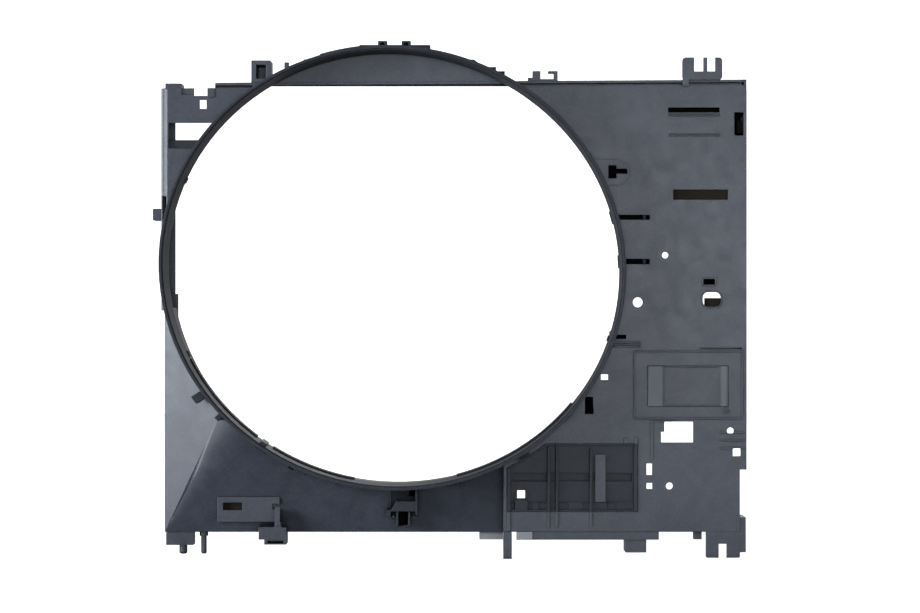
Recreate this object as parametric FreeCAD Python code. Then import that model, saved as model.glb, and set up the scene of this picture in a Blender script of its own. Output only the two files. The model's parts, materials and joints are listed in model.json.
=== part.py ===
"""Radiator fan shroud: a moulded frame with an oval fan collar, a ribbed carrier and clip-on pieces.

X runs to the right and Z up, as seen from the engine. Y runs from the engine to the radiator.
The origin lies on the fan axis, in the plane of the frame's rear flange. Lengths are in millimetres.
"""
import FreeCAD
import Part
import math
import os
from collections import namedtuple
from FreeCAD import Placement, Rotation, Vector

# Oval opening and its collar
OVAL_LONG = 452.0
OVAL_SHORT = 428.0
OVAL_TILT = 11.0
COLLAR_WALL = 3.2
COLLAR_HEIGHT = 42.0
BEAD_WIDTH = 0.8
BEAD_HEIGHT = 3.0
RABBET_WIDTH = 1.4
RABBET_DEPTH = 2.0
LIP_THICKNESS = 1.8
LIP_HEIGHT = 12.0
LIP_GAP = 0.2
CLEARANCE = 0.3

# Frame: a box that is open towards the radiator, measured outwards from the oval
LEFT_MARGIN = 7.0
SIDE_PANEL = 127.0
BOTTOM_MARGIN = 49.0
HOOD_RISE = 25.0
BOX_DEPTH = 50.0
WALL = 2.5
FLARE = 5.5
TOP_FALL = 3.8
STEP_WIDTH = 6.8
STEP_HEIGHT = 61.9
CORNER_RADIUS = 6.0
CORNER_DROP = 5.0
SEAM_DROP = 5.0
SEAM_HEIGHT = 2.6
SEAM_DEPTH = 7.0
NOTCH_DROP = 4.6
BEVEL_WIDTH = 6.5
BEVEL_DEPTH = 4.0
FLANGE_THICKNESS = 2.5
FLANGE_INWARD = 8.5
FLANGE_INWARD_RIGHT = 4.5

# Sloped faces that lead from the low rim at the left and bottom up to the oval; the lean is in degrees,
# from the hip's crease to the axis of the cone that rounds it
RIM_DEPTH = 20.0
LEFT_SLOPE_WIDTH = 78.0
BOTTOM_SLOPE_HEIGHT = 115.0
SLOPE_TOP = -42.0
HIP_LEAN = 35.0
PAD_FACE_DEPTH = 10.5

# Carrier tray, measured from the right and bottom edges of the frame
TRAY_FROM_RIGHT = 239.8
TRAY_WIDTH = 130.8
TRAY_FROM_BOTTOM = 19.6
TRAY_HEIGHT = 68.4
TRAY_RING_GAP = 7.0
TRAY_DEPTH = 4.0
TRAY_SKIN = 2.0
TRAY_WALL = 1.6
TRAY_SHELF = 3.0
TRAY_SILL = 9.7
TRAY_RIBS = (40.7, 49.0, 83.1)
CHANNEL_DEPTH = 10.0
RIB = 2.2
RIB_PROUD = 1.5

# Framed pad with its cover plate, measured from the right and bottom edges of the frame
PAD_FROM_RIGHT = 112.0
PAD_FROM_BOTTOM = 113.6
PAD_WIDTH = 107.3
PAD_HEIGHT = 66.0
PAD_SINK = 1.2
COVER_MARGIN_LEFT = 13.3
COVER_MARGIN_LOW = 11.7
COVER_WIDTH = 80.5
COVER_HEIGHT = 40.1
COVER_THICKNESS = 1.5
COVER_GAP = 0.5

# Small parts
FOAM_THICKNESS = 7.0
SEAL_WIDTH = 6.0
RIGHT_SEAL_WIDTH = 3.5
UPPER_SEAL_WIDTH = 3.0
SEAL_THICKNESS = 4.0
POCKET_DEPTH = 16.0
POCKET_WALL = 1.5
POCKET_ROOM = 2.5
PIN_RADIUS = 4.1
SLIM_PIN_RADIUS = 2.9
PIN_DEPTH = -11.0
PIN_DROP = 25.0
PIN_CHAMFER = 1.2
PIN_BOSS = 1.5
SLIM_BOSS_DROP = 8.0
BRACKET_DROP = 16.8
EYE_RADIUS = 2.2
CLIP_LEFT = -4.0

# Edges and planes worked out from the driving sizes
LEFT = -OVAL_LONG / 2 - LEFT_MARGIN
RIGHT = OVAL_LONG / 2 + SIDE_PANEL
BOTTOM = -OVAL_SHORT / 2 - BOTTOM_MARGIN
TOP = OVAL_SHORT / 2 - HOOD_RISE
CROWN = OVAL_SHORT / 2
FRAME_WIDTH = RIGHT - LEFT
FRONT = -BOX_DEPTH
PANEL_BACK = FRONT + WALL
LIP_PLANE = FRONT - COLLAR_HEIGHT
TRAY_LEFT = RIGHT - TRAY_FROM_RIGHT
TRAY_LOW = BOTTOM + TRAY_FROM_BOTTOM
SLOPE_RIGHT = TRAY_LEFT - 1.5 * RIB
PAD_FACE = -RIM_DEPTH - PAD_FACE_DEPTH
NOTCH_LEVEL = TOP - TOP_FALL - NOTCH_DROP
REACH = 2000.0
PAST = 1.0

# A window's low left corner, from the right or left edge or from a point of the oval, and its size
Window = namedtuple("Window", "x z width height")

# Heights from the frame's bottom edge
LOW_WINDOWS = {
    "cable_window": Window(82.3, 89.2, 28.8, 20.7),
    "cable_notch": Window(85.6, 89.2, 3.4, 10.5),
    "corner_window": Window(13.9, 75.4, 7.8, 7.9),
    "strap_window": Window(100.2, 56.6, 5.6, 11.4),
    "strap_hole": Window(100.2, 42.6, 5.8, 6.0),
}
# Heights from the fan axis
MIDDLE_WINDOWS = {"foam_slot": Window(73.5, 68.9, 54.9, 10.1)}
MIDDLE_POCKETS = {
    "small_pocket": Window(43.4, -16.1, 11.6, 5.8),
    "rib_pocket": Window(47.2, -80.8, 42.5, 1.6),
}
# Heights from the frame's top edge
HIGH_POCKETS = {
    "upper_pocket": Window(78.6, -32.8, 51.5, 4.9),
    "side_pocket": Window(12.4, -56.0, 9.4, 23.4),
}
HIGH_LEFT_WINDOWS = {
    "corner_hole": Window(39.0, -29.2, 6.8, 8.9),
    "duct_window": Window(7.5, -69.0, 62.0, 25.7),
}
# Direction from the fan axis, and a window measured from the collar's outer face there
RING_POCKETS = {
    "upper_hook": (13.05, Window(-2.0, -2.4, 36.8, 4.8)),
    "lower_hook": (1.78, Window(-2.0, -2.7, 29.5, 5.3)),
    "ear_square": (23.88, Window(8.8, -0.9, 7.9, 13.1)),
    "block_slot": (-17.5, Window(2.2, -1.5, 11.7, 4.1)),
    "low_slot": (-35.5, Window(6.5, -13.6, 8.0, 17.0)),
    "ear_lug_slot": (23.88, Window(16.7, 3.7, 10.8, 5.0)),
}
RING_WINDOWS = {
    "ring_window": (-27.2, Window(4.3, -7.0, 7.2, 5.5)),
    "low_slot_end": (-35.5, Window(12.5, -13.1, 2.5, 5.0)),
}
# Centre from the right edge and the fan axis, or from the collar's outer face in a direction, and radius
SMALL_HOLE = (81.5, 13.4, 3.25)
LOWER_HOLE = (77.3, 45.6, 3.5)
LARGE_HOLE = (-7.86, 17.1, -2.4, 4.95)


def box(x, y, z):
    """Box between three pairs of low and high values."""
    return Part.makeBox(x[1] - x[0], y[1] - y[0], z[1] - z[0], Vector(x[0], y[0], z[0]))


def prism(corners, run):
    """Solid of a closed flat outline, moved along a vector."""
    return Part.Face(Part.makePolygon(corners + corners[:1])).extrude(run)


def plate(points, y):
    """Plate with an outline of (x, z) points between two depths."""
    return prism([Vector(px, y[0], pz) for px, pz in points], Vector(0, y[1] - y[0], 0))


def beam(points, x):
    """Beam along X with a section of (y, z) points."""
    return prism([Vector(x[0], py, pz) for py, pz in points], Vector(x[1] - x[0], 0, 0))


def column(points, z):
    """Column along Z with a section of (x, y) points."""
    return prism([Vector(px, py, z[0]) for px, py in points], Vector(0, 0, z[1] - z[0]))


def drill(x, z, radius, y):
    """Cylinder along Y between two depths."""
    return Part.makeCylinder(radius, y[1] - y[0], Vector(x, y[0], z), Vector(0, 1, 0))


def fused(shapes):
    """One solid of several that touch or overlap."""
    return shapes[0].multiFuse(shapes[1:]).removeSplitter()


def beyond(point, normal):
    """Very large block that fills the space beyond a plane."""
    block = Part.makeBox(REACH, REACH, REACH, Vector(-REACH / 2, -REACH / 2, 0))
    block.Placement = Placement(point, Rotation(Vector(0, 0, 1), normal))
    return block


def rounded_box(x, y, z, radius):
    """Box with its four edges along Y rounded."""
    body = box(x, y, z)
    edges = [edge for edge in body.Edges if abs(edge.tangentAt(edge.FirstParameter).y) > 0.99]
    return body.makeFillet(min(radius, 0.49 * (x[1] - x[0]), 0.49 * (z[1] - z[0])), edges)


def from_right(window, level):
    """A window that is given from the right edge and a level, in the frame's own coordinates."""
    return Window(RIGHT - window.x, level + window.z, window.width, window.height)


def from_left(window, level):
    """A window that is given from the left edge and a level, in the frame's own coordinates."""
    return Window(LEFT + window.x, level + window.z, window.width, window.height)


def beside_oval(degrees, window):
    """A window that is given from the collar's outer face, in the frame's own coordinates."""
    x, z = oval_point(degrees, COLLAR_WALL)
    return Window(x + window.x, z + window.z, window.width, window.height)


def over(window, y, grow=0.0):
    """Box over a window between two depths."""
    return box((window.x - grow, window.x + window.width + grow), y,
               (window.z - grow, window.z + window.height + grow))


def oval(grow, y):
    """Oval cylinder along Y, its radii larger than the opening's by grow."""
    tilt = math.radians(OVAL_TILT)
    centre = Vector(0, y[0], 0)
    arms = [
        Vector(math.cos(tilt), 0, -math.sin(tilt)) * (OVAL_LONG / 2 + grow),
        Vector(math.sin(tilt), 0, math.cos(tilt)) * (OVAL_SHORT / 2 + grow),
    ]
    arms.sort(key=lambda arm: arm.Length, reverse=True)
    edge = Part.Ellipse(centre + arms[0], centre + arms[1], centre).toShape()
    return Part.Face(Part.Wire([edge])).extrude(Vector(0, y[1] - y[0], 0))


def oval_ring(inner, outer, y):
    """Ring between two ovals."""
    return oval(outer, y).cut(oval(inner, (y[0] - PAST, y[1] + PAST)))


def oval_point(degrees, grow):
    """Point (x, z) of the grown oval in a direction from its centre, counted from +X towards +Z."""
    turn = math.radians(degrees + OVAL_TILT)
    half_long = OVAL_LONG / 2 + grow
    half_short = OVAL_SHORT / 2 + grow
    reach = half_long * half_short / math.hypot(half_short * math.cos(turn), half_long * math.sin(turn))
    direction = math.radians(degrees)
    return reach * math.cos(direction), reach * math.sin(direction)


def crossing(side, grow):
    """Where the grown oval meets the front edge of the top wall, at the left (-1) or the right (1)."""
    degrees = 90.0
    while oval_point(degrees, grow)[1] > top_at(oval_point(degrees, grow)[0], FRONT):
        degrees -= side * 0.1
    return oval_point(degrees, grow)[0]


def sector(start, end, y):
    """Wedge from the fan axis outwards, between two directions less than half a turn apart."""
    points = [(0.0, 0.0)]
    for degrees in (start, (start + end) / 2, end):
        turn = math.radians(degrees)
        points.append((FRAME_WIDTH * math.cos(turn), FRAME_WIDTH * math.sin(turn)))
    return plate(points, y)


def radial_block(degrees, along, inner, outer, y):
    """Block across the oval's edge at a direction, from one growth of the oval to another."""
    half = math.degrees(along / (OVAL_LONG + OVAL_SHORT) * 2)
    return oval_ring(inner, outer, y).common(sector(degrees - half, degrees + half, (y[0] - PAST, y[1] + PAST)))


def upright_block(degrees, window, y):
    """Block with upright sides on the collar's outer face, from a window given there."""
    return over(beside_oval(degrees, window), y).cut(oval(COLLAR_WALL / 2, (y[0] - PAST, y[1] + PAST)))


def top_at(x, y):
    """Height of the top wall's outer face."""
    share = (y - FRONT) / BOX_DEPTH
    return TOP + FLARE * share - TOP_FALL * (RIGHT - x) / FRAME_WIDTH


def bottom_at(y):
    """Height of the bottom wall's outer face."""
    return BOTTOM - FLARE * (y - FRONT) / BOX_DEPTH


def above_top(inset):
    """Space above the top wall's outer face, or above its inner face if inset by the wall."""
    normal = Vector(-TOP_FALL / FRAME_WIDTH, -FLARE / BOX_DEPTH, 1).normalize()
    return beyond(Vector(RIGHT, FRONT, TOP) - normal * inset, normal)


def slope_normals():
    """Outward normals of the left and bottom slopes."""
    rise = BOX_DEPTH - RIM_DEPTH
    left = Vector(-rise / LEFT_SLOPE_WIDTH, -1, 0).normalize()
    low = Vector(0, -1, -rise / BOTTOM_SLOPE_HEIGHT).normalize()
    return left, low


def slope_front(z):
    """Depth of the bottom slope's face at a height."""
    rise = BOX_DEPTH - RIM_DEPTH
    return -RIM_DEPTH - rise * (z - bottom_at(-RIM_DEPTH)) / BOTTOM_SLOPE_HEIGHT


def hip_corner(inset):
    """Material along the crease of the two slopes, outside the cone that rounds the hip."""
    left, low = slope_normals()
    crease = left.cross(low).normalize()
    middle = (left + low).normalize()
    apex = Vector(LEFT, -RIM_DEPTH, bottom_at(-RIM_DEPTH)) - middle * (inset / middle.dot(left))
    lean = math.radians(HIP_LEAN)
    axis = crease * math.cos(lean) - middle * math.sin(lean)
    half_angle = math.asin(math.sin(lean) * middle.dot(left))
    cone = Part.makeCone(0, REACH / 2 * math.tan(half_angle), REACH / 2, apex, axis)
    rays = (axis + left * math.sin(half_angle), crease * 2 + middle * 0.2, axis + low * math.sin(half_angle), axis)
    ends = [apex + ray.normalize() * OVAL_SHORT for ray in rays]
    corners = ((apex, ends[0], ends[1]), (apex, ends[1], ends[2]), (apex, ends[2], ends[3]),
               (apex, ends[3], ends[0]), (ends[0], ends[1], ends[3]), (ends[1], ends[2], ends[3]))
    faces = [Part.Face(Part.makePolygon(list(points) + [points[0]])) for points in corners]
    pyramid = Part.Solid(Part.Shell(faces))
    if pyramid.Volume < 0:
        pyramid.reverse()
    return pyramid.cut(cone)


def frame_block(inset, y):
    """Outer form of the frame, or its hollow if inset by the wall."""
    body = box((LEFT + inset, RIGHT + FLARE), y, (BOTTOM - FLARE, TOP + FLARE))
    sides = (
        (Vector(RIGHT, FRONT, 0), Vector(BOX_DEPTH, -FLARE, 0)),
        (Vector(0, FRONT, BOTTOM), Vector(0, -FLARE, -BOX_DEPTH)),
    )
    for point, normal in sides:
        normal.normalize()
        body = body.cut(beyond(point - normal * inset, normal))
    body = body.cut(above_top(inset))
    left, low = slope_normals()
    span = (-REACH / 2, REACH / 2)
    left_side = box(span, span, (-REACH / 2, SLOPE_TOP + inset))
    low_side = box((-REACH / 2, SLOPE_RIGHT + inset), span, span)
    left_cut = beyond(Vector(LEFT, -RIM_DEPTH, 0) - left * inset, left)
    low_cut = beyond(Vector(0, -RIM_DEPTH, bottom_at(-RIM_DEPTH)) - low * inset, low)
    step = box((RIGHT - STEP_WIDTH - inset, REACH / 2), span, (-REACH / 2, BOTTOM + STEP_HEIGHT + inset))
    body = body.cut([left_cut.common(left_side), low_cut.common(low_side), step])
    return body.cut(hip_corner(inset))


def tray_block(grow, y):
    """Block with the tray's outline, which follows the oval at its upper left."""
    body = box((TRAY_LEFT - grow, TRAY_LEFT + TRAY_WIDTH + grow), y,
               (TRAY_LOW - grow, TRAY_LOW + TRAY_HEIGHT + grow))
    return body.cut(oval(COLLAR_WALL + TRAY_RING_GAP - grow, (y[0] - PAST, y[1] + PAST)))


def flange_top():
    """Height of the rear opening's upper edge."""
    return top_at(LEFT, 0) - WALL - 1.0


def rear_flange():
    """Flange around the rear opening, on the radiator side."""
    y = (-FLANGE_THICKNESS, 0)
    plain = frame_block(0, y)
    opening = box(
        (LEFT + FLANGE_INWARD, RIGHT + FLARE - FLANGE_INWARD_RIGHT),
        (y[0] - PAST, y[1] + PAST),
        (BOTTOM - FLARE + FLANGE_INWARD, flange_top()),
    )
    return plain.cut(opening)


def step_tab():
    """Tab that stands in from the flange at the left, beside the oval."""
    return box((LEFT + WALL, LEFT + 11.4), (-6.0, 0), (SLOPE_TOP - 13.0, SLOPE_TOP + 17.0))


def neck():
    """Oval wall that rises from the sloped faces to the collar's seat."""
    ring = oval_ring(0, COLLAR_WALL, (FRONT, -RIM_DEPTH))
    return ring.common(box((LEFT, SLOPE_RIGHT + WALL), (FRONT, 0), (BOTTOM, SLOPE_TOP + WALL)))


def slope_pad():
    """Upright pad with a window on the bottom slope."""
    return box((LEFT + 54.2, LEFT + 117.3), (PAD_FACE, -RIM_DEPTH), (BOTTOM + 7.8, BOTTOM + 32.8))


def panel_ribs():
    """Stiffening ribs on the back of the flat panel."""
    y = (PANEL_BACK, PANEL_BACK + 12.0)
    levels = (-145.0, -55.0, 30.0, 120.0)
    ribs = [box((RIGHT - 110.0, RIGHT - WALL), y, (z, z + RIB)) for z in levels]
    ribs.append(box((RIGHT - 92.0, RIGHT - 92.0 + RIB), y, (levels[0], levels[3])))
    ribs.append(box((RIGHT - 54.0, RIGHT - 54.0 + RIB), y, (levels[0], levels[2])))
    return ribs


def double_ridges(x, z):
    """Two fine ridges side by side on the engine face of the panel."""
    return [box(x, (FRONT - 0.9, FRONT), (low, low + 0.9)) for low in (z - 1.3, z + 0.5)]


def outer_ribs():
    """Low ribs and blocks on the engine face of the panel."""
    y = (FRONT - RIB_PROUD, FRONT)
    z_pad = BOTTOM + PAD_FROM_BOTTOM
    ribs = [
        box((RIGHT - 96.1, RIGHT - 93.7), y, (BOTTOM + 72.1, z_pad - 2.6)),
        box((RIGHT - 93.7, RIGHT - 74.0), y, (z_pad - 3.8, z_pad - 2.6)),
        box((TRAY_LEFT, TRAY_LEFT + 1.6 * RIB), y, (BOTTOM + 1.0, TRAY_LOW)),
        box((RIGHT - STEP_WIDTH - 2.4, RIGHT - STEP_WIDTH), y, (BOTTOM + 0.5, BOTTOM + 14.3)),
    ]
    ribs += double_ridges((RIGHT - 78.0, RIGHT - 27.0), TOP - 35.4)
    ribs += double_ridges((RIGHT - 78.0, RIGHT - 27.0), TOP - 55.4)
    ribs += double_ridges((RIGHT - 26.7, RIGHT - 5.3), z_pad - 0.4)
    for start in TRAY_RIBS:
        ribs.append(box((TRAY_LEFT + start, TRAY_LEFT + start + RIB), y, (TRAY_LOW - 15.0, TRAY_LOW)))
    for height in (98.2, 90.6, 82.6):
        ribs.append(box((RIGHT - 27.0, RIGHT - 3.5), y, (BOTTOM + height, BOTTOM + height + 1.6)))
    return ribs


def ring_block():
    """Block beside the collar, with two grooves."""
    body = over(beside_oval(-17.5, Window(1.2, -9.5, 26.7, 5.6)), (FRONT - 3.0, FRONT))
    grooves = []
    for height in (-8.2, -6.2):
        grooves.append(over(beside_oval(-17.5, Window(0.0, height, 30.0, 0.9)), (FRONT - 4.0, FRONT - 1.6)))
    return body.cut(grooves)


def raised_rims():
    """Thin raised rims around the pad, the small pocket and the oblong hole."""
    y = (FRONT - 0.9, FRONT)
    pad = Window(RIGHT - PAD_FROM_RIGHT, BOTTOM + PAD_FROM_BOTTOM, PAD_WIDTH, PAD_HEIGHT)
    small = from_right(MIDDLE_POCKETS["small_pocket"], 0.0)
    return [over(pad, y, 1.3), over(small, y, 1.3), oblong_hole(y, 1.2)]


def pocket(window):
    """Closed box behind a slot in the panel."""
    return over(window, (FRONT, PANEL_BACK + POCKET_DEPTH), POCKET_ROOM + POCKET_WALL)


def pocket_hollow(window):
    """A slot with the wider space inside its box, kept clear of the oval opening."""
    slot = over(window, (FRONT - 5.0, PANEL_BACK + PAST))
    room = over(window, (PANEL_BACK, PANEL_BACK + POCKET_DEPTH - POCKET_WALL), POCKET_ROOM)
    return slot.fuse(room).cut(oval(POCKET_WALL, (FRONT - 6.0, 0)))


def through_windows():
    """Windows that go right through the panel."""
    windows = [from_right(window, BOTTOM) for window in LOW_WINDOWS.values()]
    windows += [from_right(window, 0.0) for window in MIDDLE_WINDOWS.values()]
    windows += [beside_oval(degrees, window) for degrees, window in RING_WINDOWS.values()]
    return windows


def closed_pockets():
    """Slots of the panel that have a closed box behind them."""
    windows = [from_right(window, 0.0) for window in MIDDLE_POCKETS.values()]
    windows += [from_right(window, TOP) for window in HIGH_POCKETS.values()]
    windows += [beside_oval(degrees, window) for degrees, window in RING_POCKETS.values()]
    return windows


def round_holes(y):
    """Three round holes of the panel."""
    degrees, across, above, radius = LARGE_HOLE
    x, z = oval_point(degrees, COLLAR_WALL)
    return [
        drill(x + across, z + above, radius, y),
        drill(RIGHT - SMALL_HOLE[0], SMALL_HOLE[1], SMALL_HOLE[2], y),
        drill(RIGHT - LOWER_HOLE[0], BOTTOM + LOWER_HOLE[1], LOWER_HOLE[2], y),
    ]


def top_strips(depth, drop, height, grow=0.0):
    """Narrow strips along the panel's top edge, where the seam to the top wall shows."""
    strips = []
    spans = (
        (LEFT + 55.0, crossing(-1, COLLAR_WALL) - 18.0),
        (crossing(1, COLLAR_WALL) + 10.5, RIGHT - 64.5),
        (RIGHT - 58.3, RIGHT - CORNER_RADIUS),
    )
    for start, end in spans:
        start -= grow
        end += grow
        low = (top_at(start, FRONT) - drop, top_at(end, FRONT) - drop)
        high = (low[0] + height, low[1] + height)
        strips.append(plate([(start, low[0]), (end, low[1]), (end, high[1]), (start, high[0])], depth))
    return strips


def main_frame():
    """Main moulding of the shroud."""
    body = frame_block(0, (FRONT, 0)).fuse([neck(), slope_pad()])
    body = body.cut(frame_block(WALL, (PANEL_BACK, PAST)))
    pockets = closed_pockets()
    shelf_back = FRONT + TRAY_DEPTH + 2 * TRAY_SKIN
    added = [rear_flange(), step_tab(), pad_backing(), tray_block(WALL, (FRONT, shelf_back)), rear_bar()]
    added += [ring_block()] + panel_ribs() + outer_ribs() + raised_rims() + tray_neighbours()
    added += [pocket(window) for window in pockets]
    added += top_strips((PANEL_BACK, PANEL_BACK + SEAM_DEPTH + WALL), SEAM_DROP + 2.0, SEAM_DROP + 2.0, 2.0)
    body = body.multiFuse([piece.common(frame_envelope()) for piece in added])
    through = (FRONT - 10.0, PANEL_BACK + 6.0)
    removed = [oval(0, (FRONT - PAST, -FLANGE_THICKNESS)).cut(above_top(WALL))]
    removed += [pocket_hollow(window) for window in pockets]
    removed += [over(window, through) for window in through_windows()]
    removed += [over(from_left(HIGH_LEFT_WINDOWS["corner_hole"], TOP), through), duct_window()]
    removed += round_holes(through)
    removed += [oblong_hole((FRONT - 5.0, PANEL_BACK + PAST), 0.0), flat_sided_hole(), slope_window()]
    removed += [slope_notch(), clip_window(), tray_block(0, (FRONT - 5.0, FRONT + TRAY_DEPTH + TRAY_SKIN))]
    removed += [tray_block(-TRAY_SHELF, (FRONT, shelf_back + PAST))]
    removed += top_strips((FRONT - PAST, PANEL_BACK + SEAM_DEPTH), SEAM_DROP, SEAM_HEIGHT)
    removed += pad_recess() + corner_cuts()
    body = body.cut(removed)
    return body.fuse([pocket_bar(), curl_hook()] + corner_blocks()).removeSplitter()


def frame_envelope():
    """Outer form of the frame with room for what stands out of its engine face."""
    front = box((LEFT, RIGHT), (FRONT - 5.0, FRONT), (BOTTOM, TOP - TOP_FALL))
    return front.fuse(frame_block(0, (FRONT, 0)))


def rear_bar():
    """Cross bar on the radiator side, behind the duct window."""
    bar = box((LEFT, LEFT + 75.0), (-5.0, 0), (TOP - 81.0, TOP - 57.0))
    return bar.cut(oval(12.0, (-6.0, PAST)))


def duct_window():
    """Window at the upper left, bounded by the oval."""
    opening = over(from_left(HIGH_LEFT_WINDOWS["duct_window"], TOP), (FRONT - PAST, PANEL_BACK + PAST))
    return opening.cut(oval(COLLAR_WALL + 1.5, (FRONT - 5.0, 0)))


def oblong_hole(y, grow):
    """Large hole with round ends in the right-hand panel."""
    return rounded_box((RIGHT - 44.0 - grow, RIGHT - 25.9 + grow), y, (-38.2 - grow, -23.6 + grow), 5.5 + grow)


def flat_sided_hole():
    """Round hole with a flat lower side."""
    x = RIGHT - 16.3
    z = BOTTOM + 100.7
    y = (FRONT - 5.0, PANEL_BACK + PAST)
    return drill(x, z, 3.45, y).cut(box((x - 5.0, x + 5.0), y, (z - 5.0, z - 2.4)))


def slope_window():
    """Window through the upright pad on the bottom slope."""
    return box((LEFT + 60.2, LEFT + 79.6), (-40.0, -20.0), (BOTTOM + 19.6, BOTTOM + 27.3))


def slope_notch():
    """Notch in the upright pad, beside the spring latch."""
    return box((LEFT + 109.8, LEFT + 118.0), (PAD_FACE - PAST, PAD_FACE + 5.0), (BOTTOM + 20.6, BOTTOM + 26.2))


def clip_window():
    """Window in the bottom slope that takes the bottom clip."""
    return box((CLIP_LEFT, CLIP_LEFT + 28.0), (-44.0, -18.0), (BOTTOM + 12.0, BOTTOM + 41.5))


def pad_backing():
    """Thicker wall behind the cover plate's seat."""
    x = RIGHT - PAD_FROM_RIGHT + COVER_MARGIN_LEFT
    z = BOTTOM + PAD_FROM_BOTTOM + COVER_MARGIN_LOW
    return over(Window(x, z, COVER_WIDTH, COVER_HEIGHT), (FRONT, PANEL_BACK + WALL), 3.0)


def pad_recess():
    """Shallow framed recess and the deeper seat of its cover plate."""
    x = RIGHT - PAD_FROM_RIGHT
    z = BOTTOM + PAD_FROM_BOTTOM
    shallow = box((x, x + PAD_WIDTH), (FRONT - 2.0, FRONT + PAD_SINK), (z, z + PAD_HEIGHT))
    plate_place = Window(x + COVER_MARGIN_LEFT, z + COVER_MARGIN_LOW, COVER_WIDTH, COVER_HEIGHT)
    seat = over(plate_place, (FRONT, FRONT + PAD_SINK + COVER_THICKNESS), COVER_GAP)
    return [shallow, seat]


def pocket_bar():
    """Bar inside the side pocket."""
    x = RIGHT - HIGH_POCKETS["side_pocket"].x + 2.7
    z = TOP + HIGH_POCKETS["side_pocket"].z + 2.6
    return box((x, x + 5.0), (FRONT + 1.5, PANEL_BACK + POCKET_DEPTH - PAST), (z, z + 13.0))


def curl_hook():
    """Small curled hook below the cover plate."""
    x = RIGHT - PAD_FROM_RIGHT + COVER_MARGIN_LEFT + COVER_WIDTH - 1.5
    z = BOTTOM + PAD_FROM_BOTTOM + 7.3
    y = (FRONT - 1.0, FRONT + PAD_SINK)
    ring = drill(x, z, 3.0, y).cut(drill(x, z, 1.8, (y[0] - PAST, y[1] + PAST)))
    return ring.cut(box((x, x + 4.0), (y[0] - PAST, y[1] + PAST), (z, z + 4.0)))


def corner_cuts():
    """Bevel, notches and steps around the edge of the frame."""
    y = (FRONT - 5.0, PAST)
    cut_top = TOP + FLARE + PAST
    bevel = column(
        [(LEFT - PAST, FRONT - PAST), (LEFT + BEVEL_WIDTH, FRONT - PAST),
         (LEFT + BEVEL_WIDTH, FRONT), (LEFT, FRONT + BEVEL_DEPTH), (LEFT - PAST, FRONT + BEVEL_DEPTH)],
        (SLOPE_TOP, cut_top))
    sides = [
        box((LEFT - PAST, LEFT + 54.3), y, (NOTCH_LEVEL, cut_top)),
        box((LEFT + 33.3, LEFT + 46.7), y, (NOTCH_LEVEL - 7.8, cut_top)),
        box((LEFT + 20.8, LEFT + 33.3), (y[0], PANEL_BACK - 0.8), (NOTCH_LEVEL - 6.8, cut_top)),
        box((LEFT + 1.2, LEFT + BEVEL_WIDTH - 1.0), (y[0], FRONT + 26.0), (TOP - 143.0, TOP - 116.4)),
        box((RIGHT - CORNER_RADIUS, RIGHT + 10.0), (y[0], FRONT + 10.0), (TOP - CORNER_DROP, cut_top)),
    ]
    x = RIGHT - CORNER_RADIUS
    z = TOP - CORNER_DROP - CORNER_RADIUS
    front_y = (y[0], FRONT + 10.0)
    square = box((x, RIGHT + 10.0), front_y, (z, cut_top))
    return [bevel, square.cut(drill(x, z, CORNER_RADIUS, front_y))] + sides


def corner_blocks():
    """Block on the top left corner, above the bevel, and the short post beside it."""
    body = box((LEFT + 4.6, LEFT + 20.6), (FRONT, FRONT + 22.0), (NOTCH_LEVEL - 1.0, NOTCH_LEVEL + 4.6))
    post = box((LEFT + 46.7, LEFT + 54.0), (FRONT - 1.0, FRONT), (NOTCH_LEVEL - 9.0, NOTCH_LEVEL - 0.6))
    return [body, post]


def top_hood():
    """Plate that closes the oval above the top wall, with gussets down to the wall."""
    low = top_at(0, FRONT)
    disc = oval(COLLAR_WALL, (FRONT, PANEL_BACK))
    above = box((LEFT, RIGHT), (FRONT - PAST, 0), (low - 3.0, CROWN + FRAME_WIDTH))
    pieces = [disc.common(above)]
    half = 0.5 * crossing(1, 0)
    for x in (-half, 0.0, half):
        reach = CROWN * math.sqrt(1 - (x / (OVAL_LONG / 2)) ** 2) - 4.0
        pieces.append(beam([(PANEL_BACK, low - 3.0), (PANEL_BACK, reach), (-6.0, low), (-6.0, low - 3.0)],
                           (x - RIB / 2, x + RIB / 2)))
    return fused(pieces).cut(frame_block(0, (FRONT, 0)))


def hook(window):
    """Snap hook of the collar, which lies in a slot of the panel and turns up at its end."""
    play = CLEARANCE + 0.3
    z = (window.z + play, window.z + window.height - play)
    end = window.x + window.width - 4.0
    root = box((window.x - 8.0, window.x + 3.0), (FRONT - 6.0, FRONT + 12.0), z)
    arm = box((window.x, end), (FRONT + 9.0, FRONT + 12.0), z)
    tip = box((end - 2.6, end), (FRONT + 0.5, FRONT + 12.0), z)
    return [root, arm, tip]


def fan_collar():
    """Oval collar with a bead at its lip, snap hooks, an ear and stiffening ledges."""
    pieces = [
        oval(COLLAR_WALL, (LIP_PLANE, FRONT)),
        oval(COLLAR_WALL + BEAD_WIDTH, (LIP_PLANE, LIP_PLANE + BEAD_HEIGHT)),
        collar_ear(),
    ]
    for name in ("upper_hook", "lower_hook"):
        pieces += hook(beside_oval(*RING_POCKETS[name]))
    pieces += collar_ledges() + crown_steps() + collar_pegs()
    body = fused(pieces)
    removed = [oval(0, (LIP_PLANE - PAST, 0)), oval(RABBET_WIDTH, (LIP_PLANE - PAST, LIP_PLANE + RABBET_DEPTH))]
    removed.append(radial_block(-117.0, 6.0, COLLAR_WALL + 1.0, COLLAR_WALL + 6.0, (FRONT - 15.0, FRONT + PAST)))
    for degrees in (-18.0, -43.5, -126.5, -157.5, -203.0):
        removed.append(radial_block(degrees, 7.0, -2.0, 1.6, (FRONT - 7.0, FRONT + PAST)))
    return body.cut(removed).removeSplitter()


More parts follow.
